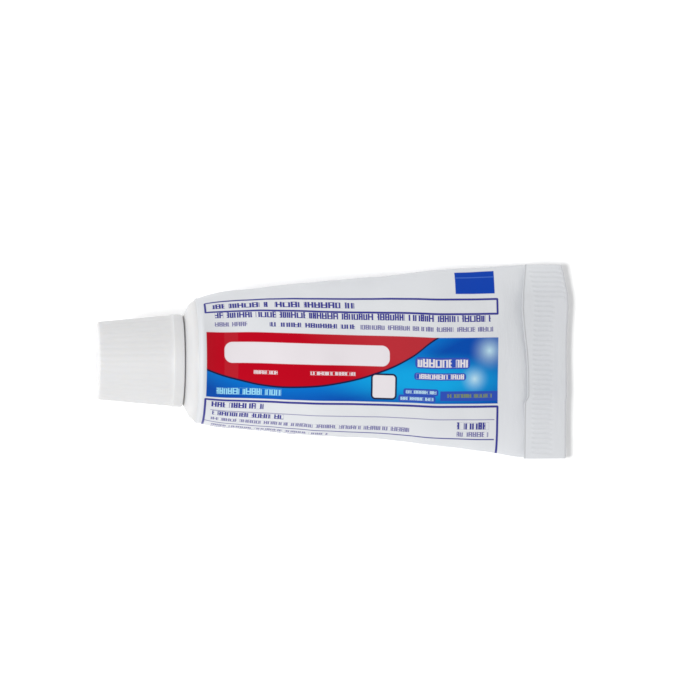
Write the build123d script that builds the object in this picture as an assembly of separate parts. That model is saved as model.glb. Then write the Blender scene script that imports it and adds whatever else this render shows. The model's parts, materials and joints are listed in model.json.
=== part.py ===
from build123d import *
import math
import os

# A travel-size toothpaste tube that lies on its back, in millimetres.
# It is drawn first in its own axis frame: the tube's axis is X, the cap is at -X, the tail at +X, and
# x = 0 is the shoulder's corner, where the sleeve ends. Then it is laid down, so that the underside
# of the sleeve rests on z = 0 with the front up, and centred over the origin.

# Sleeve: one laminate tube, pressed flat and sealed at the tail.
tube_diameter = 25.4
laminate = 0.3
sleeve_length = 75.2  # from the shoulder's corner to the outside of the tail's fold
lie_angle = 6.5  # how far the axis rises towards the cap, degrees
contact_length = 34.0  # stretch of the underside that lies straight on the table
tail_lift = 1.5  # how far the underside has left the table at the tail
flat_depth = 0.25  # how far the soft sleeve is pressed flat where it rests
belly = 0.1  # how much fuller than a plain wedge the filled sleeve is, as a share of its diameter
belly_shift = 0.02  # moves that fullness towards the tail
width_steps = 40  # halvings of the search for a section's width
section_stations = (0.0, 0.07, 0.16, 0.27, 0.39, 0.51, 0.63, 0.74, 0.84, 0.92, 1.0)

# Tail: the sealed end, folded once over onto the front.
flap_length = 9.0
flap_gap = 0.25
flap_sag = 1.3  # how far the flap's free edge droops at its two sides
fold_sag = 0.01  # the same at the fold, which is all but straight

# Shoulder and nozzle: one moulding.
shoulder_wall = 1.5
shoulder_corner_radius = 2.6
shoulder_cone_angle = 64.0  # between the cone and the axis, degrees
neck_radius = 5.6
nozzle_length = 13.9  # from the foot of the neck to the mouth
nozzle_bore_radius = 3.4
mouth_fillet = 0.5
thread_depth = 0.8
thread_pitch = 2.6
thread_turns = 3.0
thread_start = 2.2  # from the foot of the neck to the middle of the thread's first turn
thread_root_width = 1.4
thread_crest_width = 0.6
thread_sink = 0.2  # how far the ridge is rooted in the neck

# Foil seal on the nozzle's mouth.
foil_thickness = 0.15
foil_inset = 0.4  # from the outside of the neck

# Screw cap.
thread_clearance = 0.3  # between the nozzle's thread and the cap's bore
shoulder_clearance = 0.35  # between the cap's mouth and the shoulder's cone, along the axis
end_clearance = 0.45  # between the foil and the cap's end wall
cap_end_wall = 1.3
cap_side_wall = 1.15  # at the closed end, where it is thinnest
cap_taper = 5.1  # degrees
cap_edge_radius = 0.75
ring_length = 1.7
ring_step = 0.08
ring_flare_length = 0.6
rim_wall = 1.1
rim_fillet = 0.2
flute_count = 40
flute_radius = 0.55
flute_depth = 0.2

tube_radius = tube_diameter / 2
girth = math.pi * tube_diameter
fold_height = 4 * laminate + flap_gap
fold_start = sleeve_length - fold_height / 2
lie_slope = math.tan(math.radians(lie_angle))

# Where the shoulder's rounded corner turns into its cone, as a distance ahead of x = 0 and a radius.
rim_radius = tube_radius - laminate
cone_turn = math.radians(shoulder_cone_angle)
cone_start = shoulder_corner_radius * math.sin(cone_turn)
cone_start_radius = rim_radius - shoulder_corner_radius * (1 - math.cos(cone_turn))
neck_foot = cone_start + (cone_start_radius - neck_radius) / math.tan(cone_turn)
nozzle_end = neck_foot + nozzle_length

cap_bore_radius = neck_radius + thread_depth + thread_clearance
cap_end = nozzle_end + foil_thickness + end_clearance
cap_top = cap_end + cap_end_wall
cap_end_radius = cap_bore_radius + cap_side_wall


def cone_ahead(radius):
    """How far ahead of the corner the shoulder's cone has this radius."""
    return cone_start + (cone_start_radius - radius) / math.tan(cone_turn)


def sleeve_thickness(x):
    """Height of the filled sleeve at x: round at the shoulder, two layers of laminate at the fold."""
    share = x / fold_start
    filled = 1 - share + belly * math.sin(math.pi * share) - belly_shift * math.sin(2 * math.pi * share)
    return 2 * laminate + (tube_diameter - 2 * laminate) * filled


def half_width(thickness):
    """Half the width of an ellipse of this height whose girth is that of the round tube."""
    b = thickness / 2
    low, high = b, girth / 4
    for _ in range(width_steps):
        a = (low + high) / 2
        around = math.pi * (3 * (a + b) - math.sqrt((3 * a + b) * (a + 3 * b)))
        if around > girth:
            high = a
        else:
            low = a
    return low


def underside(x):
    """Height of the sleeve's lowest line at x, in the axis frame."""
    beyond = max(0.0, (x - contact_length) / (fold_start - contact_length))
    return -tube_radius + x * lie_slope + tail_lift * beyond**2


def sleeve_section(x):
    """One ellipse of the sleeve, square to the axis."""
    thickness = sleeve_thickness(x)
    centre = underside(x) + thickness / 2
    plane = Plane(origin=(x, 0, centre), x_dir=(0, 1, 0), z_dir=(1, 0, 0))
    return plane * Ellipse(half_width(thickness), thickness / 2)


def flap_section(x, bottom, sag):
    """The flap's two layers at x: a strip across the tube that droops by sag at its two sides."""
    side = girth / 4
    top = bottom + 2 * laminate
    under = ThreePointArc((x, -side, bottom - sag), (x, 0, bottom), (x, side, bottom - sag))
    over = ThreePointArc((x, side, top - sag), (x, 0, top), (x, -side, top - sag))
    right = Line(under @ 1, over @ 0)
    left = Line(over @ 1, under @ 0)
    return Face(Wire([under, right, over, left]))


def tail_flap():
    """The sealed end, folded over onto the front, with the round bend of the fold."""
    free_edge = fold_start - flap_length
    over_sleeve = underside(free_edge) + sleeve_thickness(free_edge) + flap_gap
    at_fold = underside(fold_start) + sleeve_thickness(fold_start) + flap_gap
    ends = [flap_section(free_edge, over_sleeve, flap_sag), flap_section(fold_start, at_fold, fold_sag)]
    flap = loft(ends, ruled=True)
    middle = underside(fold_start) + fold_height / 2
    bend = Pos(fold_start, 0, middle) * Rot(90, 0, 0) * Cylinder(fold_height / 2, girth / 2)
    ahead = Pos(fold_start + fold_height / 2, 0, middle) * Box(fold_height, girth, fold_height)
    return flap + (bend & ahead)


def at(ahead, radius):
    """A point of a turned outline: a distance ahead of the corner, and a radius."""
    return (-ahead, radius)


def turned(lines):
    """Solid of revolution about the tube's axis from a closed outline."""
    return revolve(make_face(lines), axis=Axis.X)


def shoulder_face(inset):
    """Half section from the corner plane to the outside of the shoulder, or that much inside it."""
    back = at(0, 0)
    corner = at(0, rim_radius - inset)
    middle_turn = cone_turn / 2
    radius = shoulder_corner_radius - inset
    centre_radius = rim_radius - shoulder_corner_radius
    bend = at(radius * math.sin(middle_turn), centre_radius + radius * math.cos(middle_turn))
    bend_end = at(radius * math.sin(cone_turn), centre_radius + radius * math.cos(cone_turn))
    foot_shift = inset / math.sin(cone_turn)
    foot = at(neck_foot - foot_shift, neck_radius)
    inner = at(neck_foot - foot_shift, 0)
    straight = Polyline(bend_end, foot, inner, back, corner)
    return straight + ThreePointArc(corner, bend, bend_end)


def neck_thread():
    """One coarse ridge round the neck, rooted in it, that stops before the mouth."""
    coil = Helix(thread_pitch, thread_pitch * thread_turns, neck_radius)
    plane = Plane(origin=coil @ 0, x_dir=(1, 0, 0), z_dir=coil % 0)
    root, crest = thread_root_width / 2, thread_crest_width / 2
    corners = [(-thread_sink, -root), (thread_depth, -crest), (thread_depth, crest), (-thread_sink, root)]
    ridge = sweep(plane * make_face(Polyline(*corners, corners[0])), path=coil, is_frenet=True)
    return Pos(-neck_foot - thread_start, 0, 0) * Rot(0, -90, 0) * ridge


def shoulder_nozzle():
    """The moulding that the sleeve is welded to: a hollow cone, and a neck with a through bore."""
    shell = turned(shoulder_face(0)) - turned(shoulder_face(shoulder_wall))
    root = neck_foot - shoulder_wall
    neck = turned(Polyline(at(root, 0), at(nozzle_end, 0), at(nozzle_end, neck_radius),
                           at(root, neck_radius), close=True))
    mouth = neck.edges().filter_by(GeomType.CIRCLE).sort_by(Axis.X)[0]
    neck = fillet(mouth, mouth_fillet)
    return shell + neck + neck_thread() - nozzle_bore()


def nozzle_bore():
    """The round way out through the shoulder and the neck."""
    return Pos(-nozzle_end / 2, 0, 0) * Rot(0, 90, 0) * Cylinder(nozzle_bore_radius, nozzle_end)


def paste_in_head():
    """What fills the shoulder and the nozzle up to the foil."""
    return turned(shoulder_face(shoulder_wall)) + nozzle_bore()


def foil_seal():
    """The disc that is sealed over the mouth."""
    middle = nozzle_end + foil_thickness / 2
    return Pos(-middle, 0, 0) * Rot(0, 90, 0) * Cylinder(neck_radius - foil_inset, foil_thickness)


def cap_ring_radius():
    """Outer radius of the base ring, a step outside the foot of the tapered side."""
    return cap_end_radius + (cap_top - neck_foot) * math.tan(math.radians(cap_taper)) + ring_step


def cap_rim():
    """How far ahead of the corner the cap's rim stands, just clear of the shoulder's cone."""
    return cone_ahead(cap_ring_radius() - rim_wall) + shoulder_clearance


def cap_flare():
    """How far ahead of the corner the tapered side begins to flare out to the base ring."""
    return cap_rim() + ring_length + ring_flare_length


def cap_outline():
    """Half section of the cap: end wall, tapered side, flare, ring, and a mouth that follows the cone."""
    ring_radius = cap_ring_radius()
    rim = cap_rim()
    throat = cone_ahead(cap_bore_radius) + shoulder_clearance
    foot_radius = cap_end_radius + (cap_top - cap_flare()) * math.tan(math.radians(cap_taper))
    return Polyline(at(cap_end, 0), at(cap_top, 0), at(cap_top, cap_end_radius),
                    at(cap_flare(), foot_radius), at(rim + ring_length, ring_radius),
                    at(rim, ring_radius), at(rim, ring_radius - rim_wall),
                    at(throat, cap_bore_radius), at(cap_end, cap_bore_radius), close=True)


def flute():
    """One shallow groove down the cap's tapered side, from its end to its flare."""
    length = cap_top - cap_flare() + cap_edge_radius
    out = cap_end_radius + flute_radius - flute_depth
    groove = Rot(0, 90, 0) * Pos(0, 0, length / 2) * Cylinder(flute_radius, length)
    return Pos(-cap_top - cap_edge_radius, 0, out) * Rot(0, -cap_taper, 0) * groove


def screw_cap():
    """The fluted cap."""
    cap = turned(cap_outline())
    end_edge = cap.edges().filter_by(GeomType.CIRCLE).sort_by(Axis.X)[0]
    cap = fillet(end_edge, cap_edge_radius)
    rim_edges = cap.edges().filter_by(GeomType.CIRCLE).sort_by(Axis.X)[-2:]
    cap = fillet(rim_edges, rim_fillet)
    grooves = [Rot(360 * k / flute_count, 0, 0) * flute() for k in range(flute_count)]
    return cap - grooves


def tube_body():
    """The filled sleeve with its folded tail, pressed flat where it rests."""
    stations = [share * fold_start for share in section_stations]
    sleeve = loft([sleeve_section(x) for x in stations])
    return sleeve + tail_flap() + paste_in_head()


def laid_down(shape):
    """Turns a shape from the axis frame onto the table, with the table's top at z = 0."""
    table = tube_radius * math.cos(math.radians(lie_angle)) - flat_depth
    return Pos(0, 0, table) * Rot(0, lie_angle, 0) * shape


def above_table(shape):
    """Cuts off what the table has pressed flat."""
    reach = 4 * sleeve_length
    return shape & Pos(0, 0, reach / 2) * Box(reach, reach, reach)


def main():
    nodes = {
        "tube_body": above_table(laid_down(tube_body())),
        "shoulder_nozzle": laid_down(shoulder_nozzle()),
        "foil_seal": laid_down(foil_seal()),
        "screw_cap": laid_down(screw_cap()),
    }
    whole = Compound([solid for part in nodes.values() for solid in part.solids()])
    box = whole.bounding_box()
    centre = Pos(-(box.min.X + box.max.X) / 2, -(box.min.Y + box.max.Y) / 2, 0)
    print("shoulder's corner at x =", round(-(box.min.X + box.max.X) / 2, 3), "overall", box.size)
    os.makedirs("parts", exist_ok=True)
    for name, part in nodes.items():
        export_step(centre * part, f"parts/{name}.step")


main()
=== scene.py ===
# %% [markdown]
# # A travel-size toothpaste tube
#
# The tube is a printed laminate sleeve, welded at one end to a moulded shoulder with a threaded
# nozzle, and pressed flat, sealed and folded over at the other. A fluted cap screws onto the nozzle.
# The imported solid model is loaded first, because every size and place below is measured on it.

import json
import math

import bmesh
import bpy
import numpy as np
from mathutils import Matrix, Vector, noise


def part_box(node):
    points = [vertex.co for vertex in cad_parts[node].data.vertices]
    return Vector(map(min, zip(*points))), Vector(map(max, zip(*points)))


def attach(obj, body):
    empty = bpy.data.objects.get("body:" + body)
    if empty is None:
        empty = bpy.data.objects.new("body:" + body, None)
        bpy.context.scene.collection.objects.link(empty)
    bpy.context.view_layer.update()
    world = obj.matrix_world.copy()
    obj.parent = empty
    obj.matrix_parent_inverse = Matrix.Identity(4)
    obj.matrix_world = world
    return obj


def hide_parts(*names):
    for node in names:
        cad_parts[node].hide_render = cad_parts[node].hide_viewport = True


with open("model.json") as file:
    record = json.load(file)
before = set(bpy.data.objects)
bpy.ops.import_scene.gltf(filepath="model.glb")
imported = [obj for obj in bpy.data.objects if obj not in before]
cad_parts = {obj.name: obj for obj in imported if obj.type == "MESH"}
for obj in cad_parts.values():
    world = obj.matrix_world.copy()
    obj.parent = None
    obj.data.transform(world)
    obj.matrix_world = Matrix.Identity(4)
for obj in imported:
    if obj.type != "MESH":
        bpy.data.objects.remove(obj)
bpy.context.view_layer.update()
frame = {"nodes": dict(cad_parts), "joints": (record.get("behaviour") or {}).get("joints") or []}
scene = bpy.context.scene
MM = 0.001

# %% [markdown]
# ## The tube's own axis
#
# The tube lies on its back with its cap a little raised, so nothing on it is square to the table.
# It is easier to model a round thing about a straight axis and to lay it down afterwards. The
# axis is the cap joint's, and the shoulder's back face gives the point where the sleeve begins.
# Everything below is drawn in millimetres about that axis, with +X towards the tail, and
# `lay_down` brings a finished mesh onto the table.

# %% The axis and the shoulder's corner
cap_way = Vector(frame["joints"][0]["axis"])
lie_angle = math.asin(cap_way.z)
shoulder_low, shoulder_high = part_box("shoulder_nozzle")
rim_radius = (shoulder_high.y - shoulder_low.y) / 2 / MM
laminate = 0.3
tube_radius = rim_radius + laminate
corner = Vector((shoulder_high.x - rim_radius * MM * math.sin(lie_angle),
                 (shoulder_high.y + shoulder_low.y) / 2,
                 shoulder_low.z + rim_radius * MM * math.cos(lie_angle)))
lay_down = (Matrix.Translation(corner) @ Matrix.Rotation(lie_angle, 4, "Y")
            @ Matrix.Diagonal((MM, MM, MM, 1)))
stand_up = lay_down.inverted()
print("tube radius", round(tube_radius, 2), "mm, axis raised", round(math.degrees(lie_angle), 2), "degrees")


def along_axis(node):
    """(nearest, farthest, widest radius) of a solid ahead of the corner and about the axis, in mm."""
    points = [stand_up @ vertex.co for vertex in frame["nodes"][node].data.vertices]
    ahead = [-point.x for point in points]
    return min(ahead), max(ahead), max(math.hypot(point.y, point.z) for point in points)


cap_rim, cap_top, ring_radius = along_axis("screw_cap")
nozzle_end = along_axis("shoulder_nozzle")[1]
foil_far, foil_radius = along_axis("foil_seal")[1:]
tail_end = max((stand_up @ vertex.co).x for vertex in frame["nodes"]["tube_body"].data.vertices)
print("cap from", round(cap_rim, 2), "to", round(cap_top, 2), "nozzle end", round(nozzle_end, 2),
      "tail end", round(tail_end, 2))

# %% [markdown]
# ## Small helpers for meshes
#
# A finished piece is a mesh object at the origin, with smooth faces and sharp edges only where two
# faces meet at a real corner. It rides on one body of the solid model. A round piece is an outline
# of (distance ahead of the corner, radius) points that is spun once about the tube's axis.

# %% Finish a piece, and spin an outline
def mesh_object(name, bm, material):
    """An object in the scene from a drawn mesh, with its material."""
    mesh = bpy.data.meshes.new(name)
    bm.to_mesh(mesh)
    bm.free()
    mesh.materials.append(material)
    made = bpy.data.objects.new(name, mesh)
    scene.collection.objects.link(made)
    return made


def finish_piece(name, bm, material, body, nodes, sharp=35):
    """Lays the drawn mesh down on the table and makes it a piece that rides on a body."""
    bmesh.ops.transform(bm, matrix=lay_down, verts=bm.verts)
    piece = mesh_object(name, bm, material)
    piece.data.shade_smooth()
    piece.data.set_sharp_from_angle(angle=math.radians(sharp))
    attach(piece, body)
    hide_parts(*nodes)
    print(name, len(piece.data.vertices), "vertices", len(piece.data.polygons), "faces")


def arc(centre, radius, start, end, steps=6):
    """Points of a round corner, from start to end in degrees; 0 is straight ahead and 90 is outwards."""
    turns = [math.radians(start + (end - start) * k / steps) for k in range(steps + 1)]
    return [(centre[0] + radius * math.cos(turn), centre[1] + radius * math.sin(turn)) for turn in turns]


def run(start, end, steps):
    """Points along a straight stretch of an outline, without its two ends."""
    return [(start[0] + (end[0] - start[0]) * k / steps, start[1] + (end[1] - start[1]) * k / steps)
            for k in range(1, steps)]


def turned(outline, steps, closed=True):
    """A mesh of revolution about the axis. An outline that isn't closed starts and ends on the axis."""
    bm = bmesh.new()
    line = [bm.verts.new((-ahead, 0, radius)) for ahead, radius in outline]
    pairs = list(zip(line, line[1:])) + ([(line[-1], line[0])] if closed else [])
    edges = [bm.edges.new(pair) for pair in pairs]
    bmesh.ops.spin(bm, geom=line + edges, cent=(0, 0, 0), axis=(1, 0, 0), dvec=(0, 0, 0),
                   angle=2 * math.pi, steps=steps, use_merge=True, use_duplicate=False)
    bmesh.ops.remove_doubles(bm, verts=bm.verts, dist=1e-4)
    bmesh.ops.recalc_face_normals(bm, faces=bm.faces)
    return bm


def smooth_step(value, low, high):
    """0 below low and 1 above high, with a soft rise between them."""
    share = np.clip((value - low) / (high - low), 0, 1)
    return share * share * (3 - 2 * share)


def eased(points, value, soft):
    """A line through a few given (place, height) points, with its corners softened."""
    places, heights = zip(*points)
    return sum(np.interp(value + shift * soft, places, heights) for shift in (-1, -0.5, 0, 0.5, 1)) / 5

# %% [markdown]
# ## Small helpers for materials
#
# Every finish is a tree of shader nodes. `put` adds one node and feeds its inputs in order, and
# `give` feeds them by name. `calc`, `ramp` and `blend_colour` are the three kinds that are wanted
# again and again. What several finishes share is a node group with named inputs, made by `group`
# and placed by `use`.

# %% Build shader nodes
def feed(tree, socket, value):
    """Links an input to another socket, sets it to a value, or leaves it alone if that is None."""
    if isinstance(value, bpy.types.NodeSocket):
        tree.links.new(value, socket)
    elif value is not None:
        socket.default_value = value


def give(tree, node, values):
    """Feeds a node's inputs by their names."""
    for name, value in values.items():
        feed(tree, node.inputs[name], value)


def put(tree, kind, *inputs, **settings):
    """Adds a shader node, changes its settings and feeds its inputs in order."""
    made = tree.nodes.new("ShaderNode" + kind)
    for name, value in settings.items():
        setattr(made, name, value)
    for socket, value in zip(made.inputs, inputs):
        feed(tree, socket, value)
    return made


def calc(tree, operation, *inputs, clamp=False):
    """The result of one Math node."""
    return put(tree, "Math", *inputs, operation=operation, use_clamp=clamp).outputs[0]


def ramp(tree, value, low, high, at_low=0.0, at_high=1.0, kind="LINEAR"):
    """Runs from at_low to at_high while a value runs from low to high, and stays level beyond."""
    return put(tree, "MapRange", value, low, high, at_low, at_high, interpolation_type=kind).outputs[0]


def distance_from(tree, first, second):
    """The straight distance that two distances at right angles make."""
    squares = [calc(tree, "POWER", side, 2.0) for side in (first, second)]
    return calc(tree, "SQRT", calc(tree, "ADD", *squares))


def in_millimetres(tree, place):
    """A place in millimetres, so that the sizes in a texture can be too."""
    return put(tree, "VectorMath", place, (1000, 1000, 1000), operation="MULTIPLY").outputs[0]


def bumped(tree, height, depth, strength=1.0):
    """The normal of a surface that rises and falls by a depth in millimetres."""
    made = put(tree, "Bump", strength, depth * MM)
    feed(tree, made.inputs["Height"], height)
    return made.outputs[0]


def blend_colour(tree, share, first, second):
    """The first colour where share is 0, and the second where it is 1."""
    made = put(tree, "Mix", data_type="RGBA", clamp_factor=True)
    sockets = {socket.identifier: socket for socket in made.inputs}
    for name, value in (("Factor_Float", share), ("A_Color", first), ("B_Color", second)):
        feed(tree, sockets[name], value)
    return next(socket for socket in made.outputs if socket.identifier == "Result_Color")


def group(name, inputs, outputs):
    """A new node group. Returns its tree, a dictionary of its input sockets, and its output node."""
    tree = bpy.data.node_groups.new(name, "ShaderNodeTree")
    for label, start in inputs.items():
        kind = "NodeSocketVector" if isinstance(start, tuple) else "NodeSocketFloat"
        tree.interface.new_socket(label, in_out="INPUT", socket_type=kind).default_value = start
    for label in outputs:
        tree.interface.new_socket(label, in_out="OUTPUT", socket_type="NodeSocketFloat")
    entrance = tree.nodes.new("NodeGroupInput")
    return tree, {socket.name: socket for socket in entrance.outputs}, tree.nodes.new("NodeGroupOutput")


def use(tree, shared, *inputs):
    """Places a node group in a tree and feeds its inputs in order. Returns its outputs."""
    made = tree.nodes.new("ShaderNodeGroup")
    made.node_tree = bpy.data.node_groups[shared]
    for socket, value in zip(made.inputs, inputs):
        feed(tree, socket, value)
    return made.outputs


def colour(red, green, blue):
    """A shader colour from three everyday 0 to 255 values."""
    return tuple(((c / 255 + 0.055) / 1.055) ** 2.4 if c > 10 else c / 255 / 12.92
                 for c in (red, green, blue)) + (1,)


def new_finish(name):
    """A material with a Principled shader, and its tree."""
    finish = bpy.data.materials.new(name)
    finish.use_nodes = True
    return finish, finish.node_tree, finish.node_tree.nodes["Principled BSDF"]

# %% [markdown]
# ## Moulded plastic
#
# The cap and the shoulder are moulded from white polyolefin. Close up it isn't a flat white: the
# mould's fine spark texture breaks up the gloss, flow lines cloud the colour a little, and handling
# leaves faint rubs. One group gives all three, and each piece sets how strong they are.

# %% Group: moulded_grain
rubs_from = 0.62
rubs_contrast = 5.0
tree, given, result = group("moulded_grain", {"Vector": (0, 0, 0), "Grain size mm": 0.25,
                                              "Cloud size mm": 6.0}, ["Grain", "Cloud", "Rubs"])
in_mm = in_millimetres(tree, given["Vector"])
grain_scale = calc(tree, "DIVIDE", 1.0, given["Grain size mm"])
cloud_scale = calc(tree, "DIVIDE", 1.0, given["Cloud size mm"])
grain = put(tree, "TexNoise", in_mm, None, grain_scale, 3.0, 0.6).outputs[0]
cloud = put(tree, "TexNoise", in_mm, None, cloud_scale, 3.0, 0.55).outputs[0]
stretched = put(tree, "Mapping", in_mm, (0, 0, 0), (0.3, 0.2, 0.5), (0.25, 3.0, 1.2)).outputs[0]
streaks = put(tree, "TexNoise", stretched, None, 1.1, 4.0, 0.7).outputs[0]
rubs = calc(tree, "MULTIPLY", calc(tree, "SUBTRACT", streaks, rubs_from), rubs_contrast, clamp=True)
give(tree, result, {"Grain": grain, "Cloud": cloud, "Rubs": rubs})
print("moulded_grain", len(tree.nodes), "nodes")

# %% Finish: moulded plastic
grain_size = 0.22
cloud_size = 7.0
flow_tint = (0.98, 0.98, 0.975)
roughness_play = 0.05
rub_dulling = 0.12
glow_radii = (1.0, 0.9, 0.75)
glow_reach = 1.2


def moulded_plastic(name, white, roughness, grain_depth, glow):
    """White moulded plastic with a spark-eroded grain, cloudy flow marks and faint rubs."""
    finish, tree, shader = new_finish(name)
    place = put(tree, "TexCoord").outputs["Object"]
    marks = use(tree, "moulded_grain", place, grain_size, cloud_size)
    tinted = tuple(c * f for c, f in zip(white, flow_tint)) + (1,)
    rough = ramp(tree, marks["Grain"], 0.3, 0.7, roughness - roughness_play, roughness + roughness_play)
    give(tree, shader, {
        "Base Color": blend_colour(tree, ramp(tree, marks["Cloud"], 0.35, 0.65), white, tinted),
        "Roughness": calc(tree, "MULTIPLY_ADD", marks["Rubs"], rub_dulling, rough),
        "Normal": bumped(tree, marks["Grain"], grain_depth),
        "IOR": 1.5,
        "Specular IOR Level": 0.3,
        "Subsurface Weight": glow,
        "Subsurface Radius": glow_radii,
        "Subsurface Scale": glow_reach * MM,
    })
    return finish


cap_plastic = moulded_plastic("cap_plastic_white", colour(220, 220, 221), 0.42, 0.010, 0.25)
head_plastic = moulded_plastic("head_plastic_natural", colour(212, 212, 213), 0.38, 0.006, 0.35)

# %% [markdown]
# ## The print
#
# The sleeve is printed flat, before it is rolled, so the print is drawn on the flat web too. It is
# built from a few kinds of mark. Each is a group that measures in millimetres on the web's own UV
# map, which gives the place along the tube and the place across it. The first is a block with round
# corners, and its distance from the block's edge gives the outline of one as well.

# %% Group: print_block
soft_edge = 0.07
tree, given, result = group("print_block", {"Along": 0.0, "Across": 0.0, "Middle along": 0.0,
                                            "Middle across": 0.0, "Half length": 1.0, "Half width": 1.0,
                                            "Corner": 0.1}, ["Fill", "Distance"])
beyond = []
for place, middle, half in (("Along", "Middle along", "Half length"),
                            ("Across", "Middle across", "Half width")):
    off = calc(tree, "ABSOLUTE", calc(tree, "SUBTRACT", given[place], given[middle]))
    straight = calc(tree, "SUBTRACT", given[half], given["Corner"])
    beyond.append(calc(tree, "SUBTRACT", off, straight))
outside = distance_from(tree, *[calc(tree, "MAXIMUM", each, 0.0) for each in beyond])
inside = calc(tree, "MINIMUM", calc(tree, "MAXIMUM", *beyond), 0.0)
distance = calc(tree, "SUBTRACT", calc(tree, "ADD", outside, inside), given["Corner"])
fill = ramp(tree, distance, -soft_edge, soft_edge, 1.0, 0.0)
give(tree, result, {"Fill": fill, "Distance": distance})
print("print_block", len(tree.nodes), "nodes")

# %% [markdown]
# The second is small print, as rows of plain marks that spell nothing. A one-dimensional Voronoi
# texture cuts a row into cells of uneven length. The distance from a cell's edge gives two upright
# strokes with an open middle. The cell's random colour says which of three crossbars it has and how
# tall it stands, and a coarser copy of the texture opens the gaps between words. All this takes many
# nodes, so it is worked out once for all rows, and a colour socket brings it the middle, height and
# pitch of whichever row a place lies in. Colour sockets cut off what is below zero, so the middle
# travels with a fixed amount added, which the group takes off again.

# %% Group: small_marks
stroke_near, stroke_far, stroke_soft = 0.05, 0.36, 0.05
bar_places, bar_chance = (0.42, 0.0, -0.42), 0.45
bar_thickness, bar_soft = 0.17, 0.04
lowest_top, highest_top, top_soft = 0.34, 0.5, 0.03
row_shift = 17.0
word_shift, words_per_mark = 5.3, 0.17
gap_edge, word_edge = 0.045, 0.075
mark_unevenness, word_unevenness = 0.6, 0.8
all_positive = 40.0
tree, given, result = group("small_marks", {"Along": 0.0, "Across": 0.0, "Measures": (0.0, 1.0, 1.0)},
                            ["Fill"])


def cells(place, per_mm, unevenness, **settings):
    """The outputs of a one-dimensional Voronoi texture along the rows."""
    made = put(tree, "TexVoronoi", None, place, per_mm, voronoi_dimensions="1D", **settings)
    made.inputs["Randomness"].default_value = unevenness
    return made.outputs


measures = put(tree, "SeparateXYZ", given["Measures"]).outputs
middle = calc(tree, "SUBTRACT", measures[0], all_positive)
height, per_mm = measures[1], calc(tree, "DIVIDE", 1.0, measures[2])
shifted = calc(tree, "MULTIPLY_ADD", middle, row_shift, given["Along"])
from_edge = cells(shifted, per_mm, mark_unevenness, feature="DISTANCE_TO_EDGE")["Distance"]
chances = put(tree, "SeparateColor", cells(shifted, per_mm, mark_unevenness)["Color"]).outputs
from_gap = cells(calc(tree, "ADD", shifted, word_shift), calc(tree, "MULTIPLY", per_mm, words_per_mark),
                 word_unevenness, feature="DISTANCE_TO_EDGE")["Distance"]
stroke = ramp(tree, from_edge, stroke_near - stroke_soft, stroke_near + stroke_soft)
opening = ramp(tree, from_edge, stroke_far - stroke_soft, stroke_far + stroke_soft)
level = calc(tree, "DIVIDE", calc(tree, "SUBTRACT", given["Across"], middle), height)
bars = 0.0
for chance, place in zip(chances, bar_places):
    off = calc(tree, "ABSOLUTE", calc(tree, "SUBTRACT", level, place))
    bar = ramp(tree, off, bar_thickness / 2 - bar_soft, bar_thickness / 2 + bar_soft, 1.0, 0.0)
    drawn = calc(tree, "MULTIPLY", bar, calc(tree, "GREATER_THAN", chance, bar_chance))
    bars = calc(tree, "MAXIMUM", bars, drawn)
opening = calc(tree, "MULTIPLY", opening, calc(tree, "SUBTRACT", 1.0, bars))
mark = calc(tree, "MULTIPLY", stroke, calc(tree, "SUBTRACT", 1.0, opening))
mark = calc(tree, "MULTIPLY", mark, ramp(tree, from_gap, gap_edge, word_edge))
top = ramp(tree, chances[1], 0.0, 1.0, lowest_top, highest_top)
below_top = ramp(tree, calc(tree, "SUBTRACT", level, top), -top_soft, top_soft, 1.0, 0.0)
give(tree, result, {"Fill": calc(tree, "MULTIPLY", mark, below_top)})
print("small_marks", len(tree.nodes), "nodes")

# %% [markdown]
# The skin of the laminate is the same under print and bare sheet: a satin polyethylene film with
# a faint orange peel, fine rubs from handling, and creases that run across the tube near the seal,
# where it has been squeezed flat. One group gives its height and how rubbed it is.

# %% Group: laminate_skin
peel_height = 0.12
creases_begin, creases_full = 40.0, 74.0
crease_least, crease_most = 0.08, 0.4
scratches_from, scratch_contrast = 0.6, 4.0
tree, given, result = group("laminate_skin", {"Vector": (0, 0, 0), "Along": 0.0, "Across": 0.0},
                            ["Height", "Rubbed", "Cloud"])
in_mm = in_millimetres(tree, given["Vector"])
peel = put(tree, "TexNoise", in_mm, None, 1.6, 2.0, 0.5).outputs[0]
crease_place = put(tree, "CombineXYZ", calc(tree, "MULTIPLY", given["Along"], 0.5),
                   calc(tree, "MULTIPLY", given["Across"], 0.12)).outputs[0]
crease_noise = put(tree, "TexNoise", crease_place, None, 1.0, 3.0, 0.55).outputs[0]
off_crease = calc(tree, "ABSOLUTE", calc(tree, "MULTIPLY_ADD", crease_noise, 4.0, -2.0))
creases = calc(tree, "POWER", calc(tree, "SUBTRACT", 1.0, off_crease), 3.0)
near_seal = ramp(tree, given["Along"], creases_begin, creases_full, crease_least, crease_most, "SMOOTHSTEP")
height = calc(tree, "MULTIPLY_ADD", peel, peel_height, calc(tree, "MULTIPLY", creases, near_seal))
scratch_place = put(tree, "Mapping", in_mm, (0, 0, 0), (0, 0, 0.5), (0.15, 2.6, 1.0)).outputs[0]
scratches = put(tree, "TexNoise", scratch_place, None, 1.3, 5.0, 0.75).outputs[0]
rubbed = calc(tree, "MULTIPLY", calc(tree, "SUBTRACT", scratches, scratches_from), scratch_contrast,
              clamp=True)
cloud = put(tree, "TexNoise", in_mm, None, 0.07, 2.0, 0.5).outputs[0]
give(tree, result, {"Height": height, "Rubbed": rubbed, "Cloud": cloud})
print("laminate_skin", len(tree.nodes), "nodes")
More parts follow.
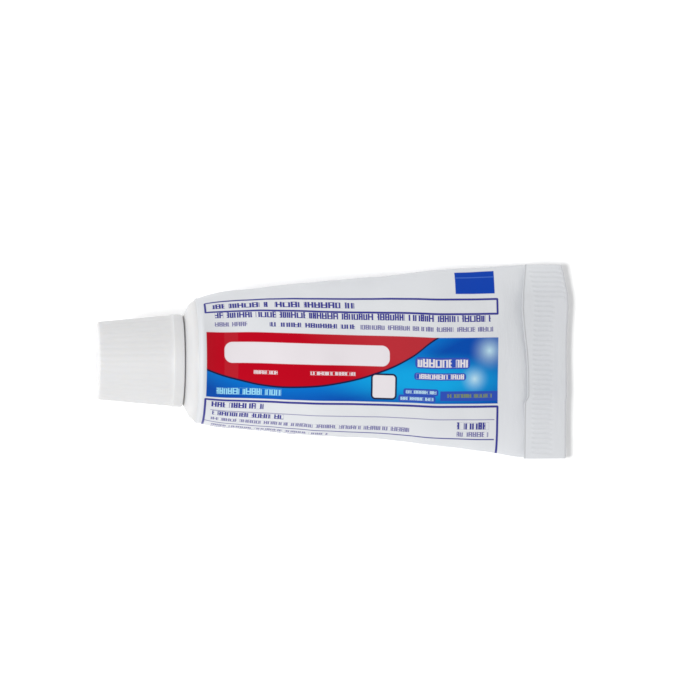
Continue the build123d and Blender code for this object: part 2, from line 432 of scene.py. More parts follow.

# %% [markdown]
# The artwork itself is layered as a printer would lay it down, from the white sheet up. A red
# field and a blue field meet on a curve, thin rules and boxes stand above and below them, and the
# places for words are only rows of marks, blank plates and soft glows. The red field also carries
# painted sheen: it is painted paler towards the tail and in a band near the shoulder, where the
# light's reflection falls on the gloss. The curve is a Float Curve node, because it bends more at
# its ends than any simple formula.

# %% Colours of the artwork
sheet_white = colour(225, 227, 230)
sheet_shade = colour(222, 224, 228)
flap_edge_grey = colour(192, 194, 197)
lap_edge_grey = colour(208, 210, 213)
ink_violet = colour(54, 54, 142)
ink_grey = colour(120, 118, 165)
red_deep = colour(190, 0, 28)
# The next colour is the red as it looks with the light's sheen on it, for the painted sheen on the red
# field.
red_sheen = colour(188, 46, 56)
blue_deep = colour(0, 76, 174)
blue_mid = colour(0, 116, 206)
blue_light = colour(14, 166, 228)
line_navy = colour(18, 22, 62)
plate_white = colour(232, 226, 230)
glow_white = colour(190, 225, 240)
bar_violet = colour(48, 80, 182)
patch_blue = colour(13, 66, 176)
patch_line = colour(70, 110, 200)
mark_cyan = colour(150, 215, 240)
mark_olive = colour(128, 142, 84)

# %% [markdown]
# The web is longer than the tube looks, because its ends are out of sight: one laps over the
# shoulder, and the other turns over at the fold and runs on to the flap's free edge. Both ends are
# cut edges that show a little greyer than the sheet, so their places are worked out before the print.

# %% Places on the web
shoulder_lap = 0.95
flap_gap = 0.25
flap_length = 7.95
fold_bend = laminate + flap_gap / 2
fold_start = tail_end - fold_bend - laminate
web_end = fold_start + math.pi * fold_bend + flap_length
print("the flat web is", round(web_end, 2), "mm long, without the lap over the shoulder")

# %% Finish: printed laminate
printed_laminate, tree, shader = new_finish("printed_laminate")
web_place = put(tree, "SeparateXYZ", put(tree, "UVMap", uv_map="web").outputs[0]).outputs
along, across = web_place[0], web_place[1]


def block(start, end, low, high, corner=0.08):
    """A block of print between two places along and two places across."""
    return use(tree, "print_block", along, across, (start + end) / 2, (low + high) / 2, (end - start) / 2,
               (high - low) / 2, corner)


def filled(*sizes):
    """How much of each place a block of print covers."""
    return block(*sizes)["Fill"]


def outlined(shape, width):
    """The outline of a block, drawn inside and outside its edge by half its width."""
    off = calc(tree, "SUBTRACT", calc(tree, "ABSOLUTE", shape["Distance"]), width / 2)
    return ramp(tree, off, -soft_edge, soft_edge, 1.0, 0.0)


def lay_on(ground, layers):
    """A ground with inks laid on it one after another, each where its own share says."""
    for share, ink in layers:
        ground = blend_colour(tree, share, ground, ink)
    return ground


def add_rows(ground, rows):
    """A ground with rows of small marks over it: start, end, middle, height, pitch of the marks, ink."""
    measures, ink, area = (all_positive, 1.0, 1.0, 1.0), ground, 0.0
    for start, end, middle, height, pitch, row_ink in rows:
        share = filled(start, end, middle - height / 2, middle + height / 2)
        measures = blend_colour(tree, share, measures, (middle + all_positive, height, pitch, 1.0))
        ink = blend_colour(tree, share, ink, row_ink)
        area = calc(tree, "MAXIMUM", area, share)
    marks = use(tree, "small_marks", along, across, measures)["Fill"]
    return blend_colour(tree, calc(tree, "MULTIPLY", marks, area), ground, ink)


def glow(middle_along, middle_across, size):
    """A soft round glow that is 1 at its middle and 0 at its size."""
    from_middle = distance_from(tree, calc(tree, "SUBTRACT", along, middle_along),
                                calc(tree, "SUBTRACT", across, middle_across))
    left = calc(tree, "SUBTRACT", 1.0, calc(tree, "DIVIDE", from_middle, size), clamp=True)
    return calc(tree, "POWER", left, 2.0)


def curve_between(points, length, low, high):
    """Height of a drawn curve at each place along the tube, from a few (along, across) points."""
    curve = put(tree, "FloatCurve", 1.0, calc(tree, "DIVIDE", along, length))
    line = curve.mapping.curves[0].points
    while len(line) < len(points):
        line.new(0.5, 0.5)
    for point, (place, height) in zip(line, points):
        point.location = (place / length, (height - low) / (high - low))
    curve.mapping.update()
    return calc(tree, "MULTIPLY_ADD", curve.outputs[0], high - low, low)


# %% Red and blue fields
field_curve = ((0, -2.9), (7.3, -5.05), (13, -6.1), (19, -6.2), (28, -5.15), (36, -2.8), (42, 0.1),
               (48, 4.5), (61, 11))
edge_height = curve_between(field_curve, length=61.0, low=-7.0, high=12.0)
above_curve = calc(tree, "SUBTRACT", across, edge_height)
# Painted sheen: the red is painted paler towards the tail, and paler still in a narrow band near the
# shoulder (a painted highlight), where the light's reflection lies on the glossy ink.
red_sheen_share = ramp(tree, calc(tree, "MULTIPLY_ADD", across, 1.2, along), 24.0, 40.0)
painted_highlight_band = filled(4.2, 7.0, -9.0, 9.0, 0.2)
red_sheen_share = calc(tree, "MULTIPLY_ADD", painted_highlight_band, 0.45, red_sheen_share, clamp=True)
red = blend_colour(tree, red_sheen_share, red_deep, red_sheen)
light_along = calc(tree, "MULTIPLY", calc(tree, "SUBTRACT", along, 45.0), 0.24)
light_reach = distance_from(tree, light_along, calc(tree, "ADD", across, 4.1))
panel_colour = lay_on(blue_deep, [
    (ramp(tree, above_curve, -3.6, -0.2, 0.0, 0.9), blue_mid),
    (ramp(tree, light_reach, 6.4, 1.2, 0.0, 1.0, "SMOOTHSTEP"), blue_light),
    (glow(59.0, 1.9, 4.6), glow_white),
    (glow(55.9, -3.8, 3.4), glow_white),
    (ramp(tree, above_curve, -soft_edge, soft_edge), red),
    (ramp(tree, calc(tree, "ABSOLUTE", above_curve), 0.1, 0.28, 1.0, 0.0), line_navy),
])

# %% Marks on the fields
panel_end = 60.85
badge = block(34.35, 39.35, -8.2, -3.2, 0.75)
panel_colour = lay_on(panel_colour, [
    (filled(4.2, 38.0, -1.6, 2.6, 1.6), plate_white),
    (filled(43.3, 54.9, -1.75, 0.55, 0.8), bar_violet),
    (filled(43.1, 54.1, -4.1, -2.6, 0.6), bar_violet),
    (filled(40.9, 48.3, -7.3, -5.9, 0.5), bar_violet),
    (filled(39.9, 47.7, -8.7, -7.2, 0.5), bar_violet),
    (filled(48.7, panel_end, -8.3, -6.3), bar_violet),
    (badge["Fill"], plate_white),
    (outlined(badge, 0.36), line_navy),
])

# %% The whole print on the white sheet
skin = use(tree, "laminate_skin", put(tree, "TexCoord").outputs["Object"], along, across)
inked = filled(0.55, panel_end, -8.9, 4.6)
print_colour = lay_on(sheet_white, [
    (ramp(tree, skin["Cloud"], 0.3, 0.7), sheet_shade),
    (inked, panel_colour),
    (outlined(block(0.6, 60.75, 9.42, 12.45), 0.42), ink_violet),
    (outlined(block(0.45, 60.8, -24.0, -9.5), 0.45), ink_violet),
    (filled(1.6, 60.2, -12.28, -12.12), ink_grey),
    (filled(0.5, 60.2, -16.5, -16.25), ink_violet),
    (filled(52.0, 60.25, 13.6, 18.5), patch_blue),
    (filled(52.0, 60.25, 17.05, 17.25), patch_line),
])

# %% Rows of small marks
rows_of_marks = [
    (10.1, 15.0, -3.4, 0.8, 0.6, plate_white),
    (21.6, 31.0, -3.3, 0.8, 0.6, plate_white),
    (2.6, 15.8, -7.4, 1.45, 0.95, mark_cyan),
    (43.7, 54.5, -0.6, 1.8, 1.3, plate_white),
    (43.5, 53.7, -3.35, 1.1, 0.95, plate_white),
    (41.4, 47.9, -6.6, 0.75, 0.6, glow_white),
    (40.3, 47.3, -8.0, 0.75, 0.6, glow_white),
    (50.1, 59.6, -7.25, 0.85, 0.7, mark_olive),
    (2.0, 13.4, 10.95, 1.5, 1.25, ink_violet),
    (14.6, 31.0, 10.95, 1.5, 1.3, ink_violet),
    (2.4, 59.3, 8.5, 1.5, 1.05, ink_violet),
    (2.3, 9.0, 6.35, 1.1, 0.85, ink_grey),
    (13.4, 31.0, 6.35, 1.1, 1.1, ink_violet),
    (32.0, 59.8, 6.3, 1.1, 0.85, ink_grey),
    (1.7, 12.4, -10.6, 1.4, 1.15, ink_violet),
    (2.0, 16.6, -13.0, 1.3, 1.0, ink_violet),
    (1.8, 42.5, -14.9, 1.15, 0.85, ink_grey),
    (2.1, 26.0, -17.8, 1.2, 0.85, ink_grey),
    (2.1, 20.0, -19.6, 1.2, 0.85, ink_grey),
    (52.3, 59.1, -13.5, 1.6, 1.2, ink_violet),
    (52.3, 59.0, -15.3, 1.15, 0.9, ink_grey),
]
print_colour = lay_on(add_rows(print_colour, rows_of_marks), [
    (ramp(tree, along, web_end - 0.3, web_end - 0.1), flap_edge_grey),
    (ramp(tree, along, 0.1 - shoulder_lap, 0.45 - shoulder_lap, 1.0, 0.0), lap_edge_grey),
])

# %% Gloss and skin of the laminate
sheet_roughness = 0.40
ink_smoothness = 0.05
handling_dulling = 0.14
skin_depth = 0.05
rough = calc(tree, "MULTIPLY_ADD", inked, -ink_smoothness, sheet_roughness)
give(tree, shader, {
    "Base Color": print_colour,
    "Roughness": calc(tree, "MULTIPLY_ADD", skin["Rubbed"], handling_dulling, rough),
    "Normal": bumped(tree, skin["Height"], skin_depth),
    "IOR": 1.5,
    "Specular IOR Level": 0.12,
})
print("printed_laminate", len(tree.nodes), "nodes")

# %% [markdown]
# ## The sleeve's shape
#
# The sleeve is one sheet of laminate, rolled and seamed into a tube. However it is squeezed, its
# girth stays the same, so where it is pressed thinner it has to grow wider. That gives every
# section: choose its height, and find the width whose outline is as long as the round tube's.
# The heights follow the solid model: round at the shoulder, full in the middle, flat at the seal.

# %% Heights and widths along the sleeve
girth = 2 * math.pi * tube_radius
corner_round = 2.6
contact_length = 34.0
tail_lift = 1.5
belly = 0.1
belly_shift = 0.02
shoulder_pinch = 1.15
pinch_place = 7.0
sway = ((0, 0), (4, 0.2), (10, 0.42), (20, 0.25), (30, 0.5), (42, 0.65), (52, 0.5), (62, 0.1), (70, -0.2),
        (80, -0.25))
girth_tries = 14
web_columns = 480
flattening_length = 7
round_steps = 720


def sleeve_height(x):
    """How thick the filled sleeve is at x."""
    share = x / fold_start
    filled = 1 - share + belly * math.sin(math.pi * share) - belly_shift * math.sin(2 * math.pi * share)
    pinch = shoulder_pinch * x / pinch_place * math.exp(1 - x / pinch_place)
    return 2 * laminate + 2 * (tube_radius - laminate) * filled - pinch


def underside(x):
    """Height of the sleeve's lowest line at x."""
    beyond = max(0.0, (x - contact_length) / (fold_start - contact_length))
    return -tube_radius + x * math.tan(lie_angle) + tail_lift * beyond ** 2


def squareness(x):
    """How boxy a section is: 2 is an ellipse, and the sealed tail is a flat strip."""
    near_fold = float(smooth_step(x, fold_start - flattening_length, fold_start))
    return 2 + 0.08 * math.sin(math.pi * x / fold_start) + 3 * near_fold


def rolled_section(x):
    """(y, z) points round the section at x, evenly spaced from the back round to the back again."""
    turn = np.linspace(-math.pi, math.pi, round_steps + 1)
    power = 2 / squareness(x)
    across = np.sign(np.sin(turn)) * np.abs(np.sin(turn)) ** power
    up = sleeve_height(x) / 2 * np.sign(np.cos(turn)) * np.abs(np.cos(turn)) ** power
    half_width = tube_radius
    for _ in range(girth_tries):
        steps = np.hypot(np.diff(across * half_width), np.diff(up))
        half_width += (girth - steps.sum()) / 4
    along = np.concatenate([[0], np.cumsum(np.hypot(np.diff(across * half_width), np.diff(up)))])
    wanted = np.linspace(0, along[-1], web_columns + 1)
    return np.interp(wanted, along, across * half_width), np.interp(wanted, along, up)


for x in (0, 10, 30, 50, 65, fold_start):
    print("x", round(x, 1), "height", round(sleeve_height(x), 2), "half width",
          round(float(rolled_section(x)[0].max()), 2))

# %% [markdown]
# ## Rolling the sheet
#
# The web starts as a flat grid, with its columns running along the tube and its rows round it.
# Each row is then moved to its place: the first few make the cut edge at the shoulder and a disc
# that closes the tube behind it, the next ones are the sections, and the last ones are the sealed
# strip, which turns over at the fold and comes back up the slope as the flap. The UV map keeps each
# point's place on the flat web in millimetres, which is how the print is laid on it later.

# %% The fold and the flap
fold_rows = 9
fold_edge_wave = ((-20, 0.35), (-8, 0.3), (-7, 0.45), (2, 0.4), (6, 0.5), (11, 0.75), (14, 0.65),
                  (17, 0.05), (20, -0.6))
free_edge_wave = ((-20, 0.0), (-8.3, -0.1), (-7.2, 0.6), (-2, 0.55), (2, 0.3), (5, -0.1), (8, -0.45),
                  (11, -0.7), (14, -0.5), (17, -0.1), (20, 0.3))
flap_droop = ((-20, 1.35), (-13, 0.65), (-6.6, 0.12), (0, 0), (8, 0), (12.9, 0.1), (16, 0.6), (20, 1.4))
flap_lift = ((-20, 0.0), (-8, 0.0), (-6.8, 0.25), (0, 0.15), (9, 0.5), (12.9, 0.35), (13.6, 0.1), (20, 0.0))
strip_wave = ((-20, 0.15), (-14, -0.05), (-6.8, 0.12), (0, -0.05), (7, 0.0), (12.8, 0.2), (14, -0.05),
              (20, 0.2))
wave_soft = 0.5
rib_pitch = 1.0
rib_height = 0.12
rib_near = 3.1
rib_far = 7.0
long_ribs_from = 12.9
ribs_stop = 18.9

body_places = np.concatenate([np.linspace(0, 3, 8)[:-1], np.linspace(3, 58, 78)[:-1],
                              np.linspace(58, fold_start, 31)])
flap_places = np.linspace(0, flap_length, 34)


def slope_top(x):
    """Height of the filled sleeve's top line at x."""
    return underside(x) + sleeve_height(x)


def strip_row(away, way, across, layer):
    """The sealed strip's points at one row, from its own width and thickness points."""
    ride_up = away[1] + eased(strip_wave, across, wave_soft)
    return np.stack([away[0] + layer * way[0], across, ride_up + layer * way[1]], axis=1)


def ribs(across, from_fold):
    """How far the crimping jaws have pushed the strip out of its plane."""
    wave = np.cos(2 * math.pi * across / rib_pitch)
    near = np.where(across > long_ribs_from, -1.0, rib_near)
    window = smooth_step(from_fold, near - 0.15, near + 0.25)
    window = window * (1 - smooth_step(from_fold, rib_far - 0.1, rib_far + 0.2))
    return rib_height * wave * window * (1 - smooth_step(np.abs(across), ribs_stop, ribs_stop + 0.6))


def lap_radius(ahead, thick):
    """Radius of the shoulder's rounded corner, or of the laminate on it, ahead of the corner plane."""
    return rim_radius - corner_round + math.sqrt((corner_round + thick) ** 2 - ahead ** 2)


# %% The rows of the web
disc_place = 0.9
disc_inset = 1.2
weld_gap = 0.01
cut_corners = ((-0.04, -0.18), (0.02, -0.06))


def rows_on_shoulder():
    """The disc, the sheet's inside and its cut end on the shoulder, and its outside up to the corner."""
    across, up = rolled_section(0)
    laps = [shoulder_lap * share for share in (0, 0.25, 0.5, 0.75, 1)]
    disc = [(disc_place, 0.0), (disc_place, rim_radius - disc_inset)]
    inside = [(-lap, lap_radius(lap, 0.0) + weld_gap) for lap in laps]
    cut, *outside = [(-lap, lap_radius(lap, laminate)) for lap in reversed(laps[1:])]
    cut_end = [(cut[0] + along, cut[1] + out) for along, out in cut_corners]
    for place, size in disc + inside + cut_end + outside:
        share = size / tube_radius
        ring = np.stack([np.full(web_columns + 1, place), across * share, up * share], axis=1)
        yield min(place, 0.0), ring


def rows_of_body():
    """The sections of the filled sleeve."""
    for x in body_places:
        across, up = rolled_section(x)
        near_fold = smooth_step(x, fold_start - flattening_length, fold_start)
        middle = underside(x) + sleeve_height(x) / 2
        section = np.stack([np.full(web_columns + 1, x), across + eased(sway, x, 3), middle + up], axis=1)
        section[:, 0] += near_fold * eased(fold_edge_wave, across, wave_soft)
        section[:, 2] += near_fold * eased(strip_wave, across, wave_soft)
        yield x, section


def rows_of_strip():
    """The sealed strip, first round the fold and then back up the slope as the flap."""
    strip_across, layer = rolled_section(fold_start)
    across = strip_across + eased(sway, fold_start, 3)
    edge = eased(fold_edge_wave, strip_across, wave_soft)
    middle = underside(fold_start) + laminate
    for k in range(1, fold_rows + 1):
        turn = math.pi * k / fold_rows
        away = (fold_start + edge + fold_bend * math.sin(turn), middle + fold_bend * (1 - math.cos(turn)))
        yield (fold_start + fold_bend * turn,
               strip_row(away, (-math.sin(turn), math.cos(turn)), across, layer))
    length = flap_length - eased(free_edge_wave, strip_across, 0.35) + edge
    lean = math.atan((slope_top(fold_start - flap_length) - slope_top(fold_start)) / flap_length)
    free_end = [(1.0, 0.5, 0.02), (1.0, 0.0, -0.05)]
    for share, thick, past in [(place / flap_length, 1.0, 0.0) for place in flap_places[1:]] + free_end:
        back = share * length + past
        x = fold_start - back
        droop = eased(flap_droop, strip_across, 0.6) * share ** 1.2
        lift = eased(flap_lift, strip_across, wave_soft) * share ** 2
        over = np.array([slope_top(place) for place in x]) + flap_gap + laminate - droop + lift
        over += ribs(strip_across, back + fold_bend)
        yield (fold_start + fold_bend * math.pi + share * flap_length,
               strip_row((x + edge, over), (-math.sin(lean), -math.cos(lean)), across, layer * thick))


rows = [*rows_on_shoulder(), *rows_of_body(), *rows_of_strip()]
print("web:", len(rows), "rows of", web_columns, "columns")

# %% [markdown]
# A filled sleeve is never quite smooth. The paste pushes it out in places, and fingers have left
# shallow dents, so a slow noise moves the surface in and out by a fraction of a millimetre. It
# fades out where the sleeve is held: at the shoulder, at the seal and on the flap. Last, nothing may
# go through the table, so whatever would is pressed flat on it.

# %% Dents, and the flat where it rests
dent_depth = 0.22
dent_size = 15.0
ripple_depth = 0.05
ripple_size = 4.5
press_softness = 0.12


def surface_normals(points):
    """Outward directions over the whole web, from its neighbours along and round the tube."""
    along = np.gradient(points, axis=0)
    round_it = np.gradient(points, axis=1)
    out = np.cross(round_it, along)
    return out / np.maximum(np.linalg.norm(out, axis=2, keepdims=True), 1e-9)


def dents(points):
    """How far each point moves in or out."""
    flat = [noise.noise(Vector(point) / dent_size) * dent_depth * 2
            + noise.noise(Vector(point) / ripple_size + Vector((7, 3, 1))) * ripple_depth * 2
            for point in points.reshape(-1, 3)]
    return np.array(flat).reshape(points.shape[:2])


places = np.array([place for place, _ in rows])
web = np.stack([points for _, points in rows])
held = smooth_step(places, 1.5, 12) * (1 - smooth_step(places, fold_start - 9, fold_start - 1))
web += surface_normals(web) * (dents(web) * held[:, None])[:, :, None]
table_height = (web[:, :, 0] * math.sin(lie_angle) - corner.z / MM) / math.cos(lie_angle)
above = web[:, :, 2] - table_height
web[:, :, 2] = table_height + (above + np.sqrt(above ** 2 + press_softness ** 2)) / 2
web[:, 0, :] = web[:, -1, :]
print("lowest point above the table:", round(float((web[:, :, 2] - table_height).min()), 3), "mm")

# %% [markdown]
# The print doesn't sit quite straight on the finished tube, because the sheet was rolled and filled
# with a slight twist. That drift is taken off the map's place across, so that the artwork can be
# drawn straight and square.

# %% Make the sleeve from a grid
print_drift = ((0, 1.35), (4, 0.98), (11, 0.76), (20, 0.58), (30, 0.12), (40, -0.3), (48, -0.58),
               (55, -0.35), (61, 0), (75, 0))
drift = eased(print_drift, places, 1.5)


def rolled_sleeve():
    """The flat grid with every vertex moved to its place on the rolled, folded web."""
    bm = bmesh.new()
    bmesh.ops.create_grid(bm, x_segments=web_columns, y_segments=len(rows) - 1, size=1)
    web_map = bm.loops.layers.uv.new("web")
    where = {}
    for vert in bm.verts:
        row = round((vert.co.y + 1) / 2 * (len(rows) - 1))
        column = round((vert.co.x + 1) / 2 * web_columns)
        where[vert] = (row, column)
    for face in bm.faces:
        for loop in face.loops:
            row, column = where[loop.vert]
            loop[web_map].uv = (places[row], (column / web_columns - 0.5) * girth - drift[row])
    for vert, (row, column) in where.items():
        vert.co = web[row, column]
    bmesh.ops.remove_doubles(bm, verts=bm.verts, dist=2e-3)
    bmesh.ops.dissolve_degenerate(bm, dist=1e-5, edges=bm.edges)
    bmesh.ops.recalc_face_normals(bm, faces=bm.faces)
    open_edges = sum(1 for edge in bm.edges if len(edge.link_faces) != 2)
    print("sleeve edges that aren't shared by two faces:", open_edges)
    return bm


finish_piece("sleeve", rolled_sleeve(), printed_laminate, "tube", ["tube_body"], sharp=50)

# %% [markdown]
# ## The shoulder and nozzle
#
# One moulding closes the tube: a hollow cone with a rounded corner that the sleeve is welded round,
# and a neck with a bore. It is turned from a single outline that runs up the outside, over the mouth
# and back down the inside. Its thread is a ridge with sloping flanks: a small trapezoid is spun round
# the neck while it also moves along it. Both ends of the ridge sink into the neck, so that a cap can
# start on it.

# %% Outline of the shoulder and nozzle
cone_angle = 64.0
neck_radius = 5.6
bore_radius = 3.4
shoulder_wall = 1.5
neck_fillet = 0.5
mouth_round = 0.45
cone_turn = math.radians(cone_angle)
cone_start = corner_round * math.sin(cone_turn)
cone_start_radius = rim_radius - corner_round * (1 - math.cos(cone_turn))
neck_foot = cone_start + (cone_start_radius - neck_radius) / math.tan(cone_turn)


def cone_ahead(radius, inset=0.0):
    """How far ahead of the corner the cone, or its inside, has this radius."""
    return cone_start + (cone_start_radius - radius) / math.tan(cone_turn) - inset / math.sin(cone_turn)


def shoulder_outline():
    """The moulding's half section, outside first."""
    middle = rim_radius - corner_round
    inside_round = corner_round - shoulder_wall
    outside = [(0, rim_radius - 0.1)] + arc((0, middle), corner_round, 88, 90 - cone_angle, 12)
    outside += run(outside[-1], (cone_ahead(neck_radius + neck_fillet), neck_radius + neck_fillet), 10)
    outside += [(cone_ahead(neck_radius + 0.3), neck_radius + 0.3), (neck_foot + 0.12, neck_radius + 0.1),
                (neck_foot + 0.45, neck_radius)]
    outside += run((neck_foot + 0.45, neck_radius), (nozzle_end - mouth_round, neck_radius), 12)
    mouth = arc((nozzle_end - mouth_round, neck_radius - mouth_round), mouth_round, 90, 0, 6)
    mouth += arc((nozzle_end - 0.2, bore_radius + 0.2), 0.2, 0, -90, 3)
    inside = [(cone_ahead(bore_radius, shoulder_wall), bore_radius)]
    inside += arc((0, middle), inside_round, 90 - cone_angle, 90, 6)
    return outside + mouth + inside


# %% The thread
thread_pitch = 2.6
thread_turns = 3.0
thread_start = 2.2
thread_steps = 72
thread_fade = 0.22
thread_height = 0.8
thread_sink = 0.2
thread_root, thread_crest = 1.6, 0.6


def thread_ridge(bm, foot_radius, crest_radius, root_width, crest_width, begin, turns):
    """A screw ridge from a trapezoid that is spun and moved along together, faded out at both ends."""
    root, crest = root_width / 2, crest_width / 2
    corners = [(-root, foot_radius), (-crest, crest_radius), (crest, crest_radius), (root, foot_radius)]
    line = [bm.verts.new((-begin - along, 0, radius)) for along, radius in corners]
    section = bm.faces.new(line)
    steps = int(thread_steps * turns)
    before = set(bm.verts) - set(line)
    bmesh.ops.spin(bm, geom=[section], cent=(0, 0, 0), axis=(1, 0, 0),
                   dvec=(-thread_pitch * turns / steps, 0, 0), angle=2 * math.pi * turns, steps=steps,
                   use_merge=False, use_duplicate=False)
    for vert in set(bm.verts) - before:
        angle = math.atan2(-vert.co.y, vert.co.z) / (2 * math.pi)
        turn = angle + round((-vert.co.x - begin) / thread_pitch - angle)
        fade = min(1.0, max(0.0, min(turn, turns - turn) / thread_fade))
        radius = math.hypot(vert.co.y, vert.co.z)
        wanted = foot_radius + (radius - foot_radius) * math.sin(fade * math.pi / 2)
        vert.co.y *= wanted / radius
        vert.co.z *= wanted / radius


def head_moulding():
    """The shoulder and nozzle with its thread."""
    bm = turned(shoulder_outline(), 192)
    thread_ridge(bm, neck_radius - thread_sink, neck_radius + thread_height, thread_root, thread_crest,
                 neck_foot + thread_start, thread_turns)
    bmesh.ops.recalc_face_normals(bm, faces=bm.faces)
    return bm


finish_piece("head_moulding", head_moulding(), head_plastic, "tube", ["shoulder_nozzle"])

# %% [markdown]
# ## The foil seal
#
# A disc of lacquered foil is welded over the mouth. The welding head leaves a ring pressed into
# it, and inside the ring the foil domes a little over the bore. The disc is turned too, and its
# foil finish gets fine crinkles from the material.

# %% Finish: embossed foil
foil_grey, foil_bright = colour(186, 188, 192), colour(222, 223, 225)
crinkle_size = 1.6
foil_finish, tree, shader = new_finish("seal_foil")
in_mm = in_millimetres(tree, put(tree, "TexCoord").outputs["Object"])
crinkle = put(tree, "TexVoronoi", in_mm, None, crinkle_size, feature="DISTANCE_TO_EDGE").outputs["Distance"]
brushed = put(tree, "TexNoise", in_mm, None, 3.0, 4.0, 0.6).outputs[0]
crease = calc(tree, "MULTIPLY_ADD", brushed, 0.5, calc(tree, "SMOOTH_MIN", crinkle, 0.12, 0.05))
give(tree, shader, {
    "Base Color": blend_colour(tree, brushed, foil_grey, foil_bright),
    "Roughness": ramp(tree, brushed, 0.3, 0.7, 0.22, 0.42),
    "Normal": bumped(tree, crease, 0.08, 0.6),
    "Metallic": 1.0,
})
print("seal_foil", len(tree.nodes), "nodes")


# %% The foil disc
ring_dip, dome_dip = 0.06, 0.05


def foil_disc():
    """A thin disc with a pressed weld ring and a slight dome over the bore."""
    back, front = nozzle_end + 0.01, foil_far
    weld = (neck_radius + bore_radius) / 2
    top = [(front - dome_dip, 0.0), (front - dome_dip, 1.6), (front - 0.02, bore_radius - 0.5),
           (front, bore_radius), (front, weld - 0.55), (front - ring_dip, weld - 0.35),
           (front - ring_dip, weld + 0.25), (front, weld + 0.45), (front, foil_radius - 0.04)]
    side = [(front - 0.03, foil_radius), (back, foil_radius)]
    return turned(top + side + [(back, 0.0)], 128, closed=False)


finish_piece("foil_disc", foil_disc(), foil_finish, "tube", ["foil_seal"])

# %% [markdown]
# ## The cap
#
# The cap tapers towards its closed end and has a plain base ring that it is gripped against. Forty
# shallow flutes run down its side. They could be cut one by one, but it is cheaper to spin the
# outline in many small steps and to press each point of the side inwards by how near it is to the
# middle of a flute. The mould's gate has left a small nib in a dimple on the end, and inside there
# is a screw ridge that lies between the turns of the nozzle's thread.

# %% Outline of the cap
flute_count = 40
flute_depth = 0.06
flute_width = 0.75
steps_per_flute = 12
thread_clearance = 0.3
cap_bore = neck_radius + thread_height + thread_clearance
cap_thread_height = 0.65
cap_thread_sink = 0.1
cap_end = foil_far + 0.45
cap_edge = 0.55
cap_taper = math.tan(math.radians(5.1))
cap_end_radius = cap_bore + 1.15
ring_length = 1.7
ring_flare = 0.6
rim_wall = 1.1
rim_slope = 0.42
rim_round = 0.2
throat = cone_ahead(cap_bore) + 0.35
side_steps = 26


def side_radius(ahead):
    """Radius of the tapered side at a distance ahead of the corner."""
    return cap_end_radius + (cap_top - ahead) * cap_taper


def cap_outline():
    """The cap's half section, from the middle of the end wall's inside round to its outside."""
    ring_top = cap_rim + ring_length
    flare = ring_top + ring_flare
    inside = [(cap_end, 0.0), (cap_end, 3.0)] + arc((cap_end - 0.4, cap_bore - 0.4), 0.4, 0, 90, 4)
    inside += run((cap_end - 0.4, cap_bore), (throat, cap_bore), 8) + [(throat, cap_bore)]
    mouth = [(cap_rim, ring_radius - rim_wall)]
    edge_middle = cap_rim - rim_slope + rim_round
    ring = arc((edge_middle, ring_radius - rim_round), rim_round, 180, 90, 4)
    ring += run((edge_middle, ring_radius), (ring_top - 0.2, ring_radius), 3)
    ring += arc((ring_top - 0.12, ring_radius - 0.12), 0.12, 90, 30, 3)
    foot = [(ring_top + 0.25, side_radius(flare) + 0.06), (flare, side_radius(flare))]
    edge_start = cap_top - cap_edge
    side = run(foot[-1], (edge_start, side_radius(edge_start)), side_steps)
    edge = arc((edge_start, side_radius(edge_start) - cap_edge), cap_edge, 85, 0, 8)
    end = [(cap_top, 1.9), (cap_top - 0.22, 1.6), (cap_top - 0.25, 0.75), (cap_top - 0.02, 0.6),
           (cap_top - 0.02, 0.0)]
    return inside + mouth + ring + foot + side + edge + end


def press_flutes(bm):
    """Presses the flutes into the tapered side, and fades them out towards the ring and the end."""
    flare = cap_rim + ring_length + ring_flare
    pitch = 2 * math.pi / flute_count
    for vert in bm.verts:
        ahead, radius = -vert.co.x, math.hypot(vert.co.y, vert.co.z)
        if radius < cap_end_radius - 0.3 or ahead < flare - 0.1:
            continue
        turn = math.atan2(vert.co.y, vert.co.z) / pitch
        off = abs(turn - round(turn)) * pitch * radius / (flute_width / 2)
        hollow = max(0.0, 1 - off ** 2)
        share = hollow * float(smooth_step(ahead, flare - 0.1, flare + 0.7))
        share *= float(1 - smooth_step(ahead, cap_top - cap_edge, cap_top - 0.1))
        pressed = 1 - flute_depth * share / radius
        vert.co.y *= pressed
        vert.co.z *= pressed


def fluted_cap():
    """The whole cap, with the screw ridge inside it."""
    bm = turned(cap_outline(), flute_count * steps_per_flute, closed=False)
    press_flutes(bm)
    thread_ridge(bm, cap_bore + cap_thread_sink, cap_bore - cap_thread_height, 1.1, 0.45,
                 neck_foot + thread_start + thread_pitch / 2, thread_turns - 1.0)
    bmesh.ops.recalc_face_normals(bm, faces=bm.faces)
    return bm


finish_piece("fluted_cap", fluted_cap(), cap_plastic, "cap", ["screw_cap"], sharp=32)

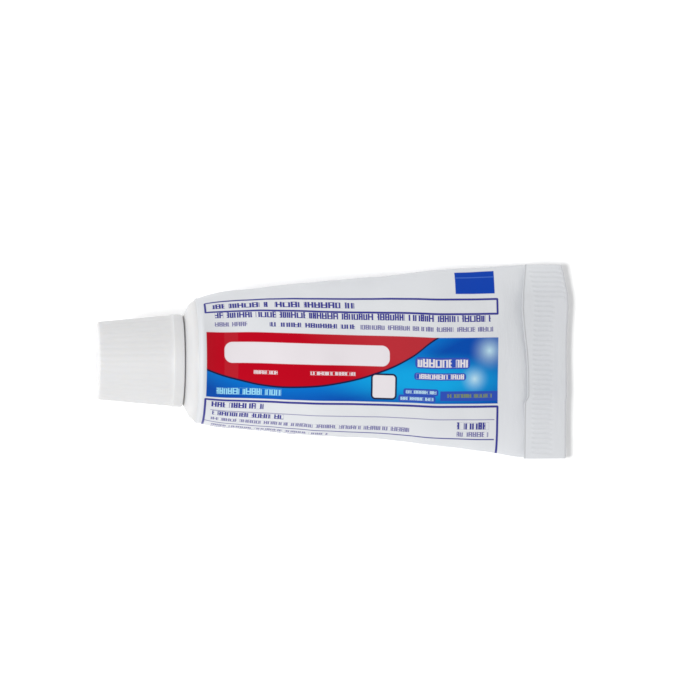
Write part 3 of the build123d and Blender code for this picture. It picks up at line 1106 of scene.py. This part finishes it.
# %% [markdown]
# ## Table, light and camera
#
# The tube is shown on a plain white table that glows faintly, so that it stays white, under one soft
# lamp high up on the cap's side. The white surround is brighter near the horizon than overhead. It
# fills the shadows from the sides and still lets the lamp shape the top of the tube. The camera
# looks straight down from 0.86 m with a long lens, so that there is hardly any perspective.

# %% The table
table_finish, tree, shader = new_finish("white_table")
give(tree, shader, {"Base Color": (0.93, 0.93, 0.93, 1), "Roughness": 0.9, "Specular IOR Level": 0.0,
                    "Emission Color": (1, 1, 1, 1), "Emission Strength": 0.17})
bm = bmesh.new()
bmesh.ops.create_grid(bm, x_segments=1, y_segments=1, size=3)
table = mesh_object("table", bm, table_finish)

# %% Soft light
horizon_strength, overhead_strength = 0.7, 0.18
lamp_place = (-0.53, -0.10, 0.93)
lamp_side = 0.36
lamp_power = 8.3
world = bpy.data.worlds.new("white_surround")
scene.world = world
world.use_nodes = True
tree = world.node_tree
way_up = put(tree, "SeparateXYZ", put(tree, "TexCoord").outputs["Generated"]).outputs[2]
strength = ramp(tree, way_up, 0.5, 0.97, horizon_strength, overhead_strength, "SMOOTHSTEP")
give(tree, tree.nodes["Background"], {"Strength": strength, "Color": (1, 1, 1, 1)})
lamp = bpy.data.lights.new("key_lamp", "AREA")
lamp.size = lamp_side
lamp.energy = lamp_power
holder = bpy.data.objects.new("key_lamp", lamp)
holder.location = lamp_place
holder.rotation_euler = (-Vector(lamp_place)).to_track_quat("-Z", "Y").to_euler()
scene.collection.objects.link(holder)
scene.view_settings.view_transform = "Standard"

# %% The camera
view_ahead, view_aside = 30.5, 2.15
view_middle = Vector((corner.x + view_ahead * MM, view_aside * MM, 0.0))
eye_height = 0.862
view_width = 0.14175
lens_plane = 0.012
camera = bpy.data.cameras.new("camera")
camera.sensor_width = 36.0
camera.lens = camera.sensor_width * (eye_height - lens_plane) / view_width
eye = bpy.data.objects.new("camera", camera)
eye.location = view_middle + Vector((0, 0, eye_height))
scene.collection.objects.link(eye)
scene.camera = eye
print("lens", round(camera.lens, 1), "mm")
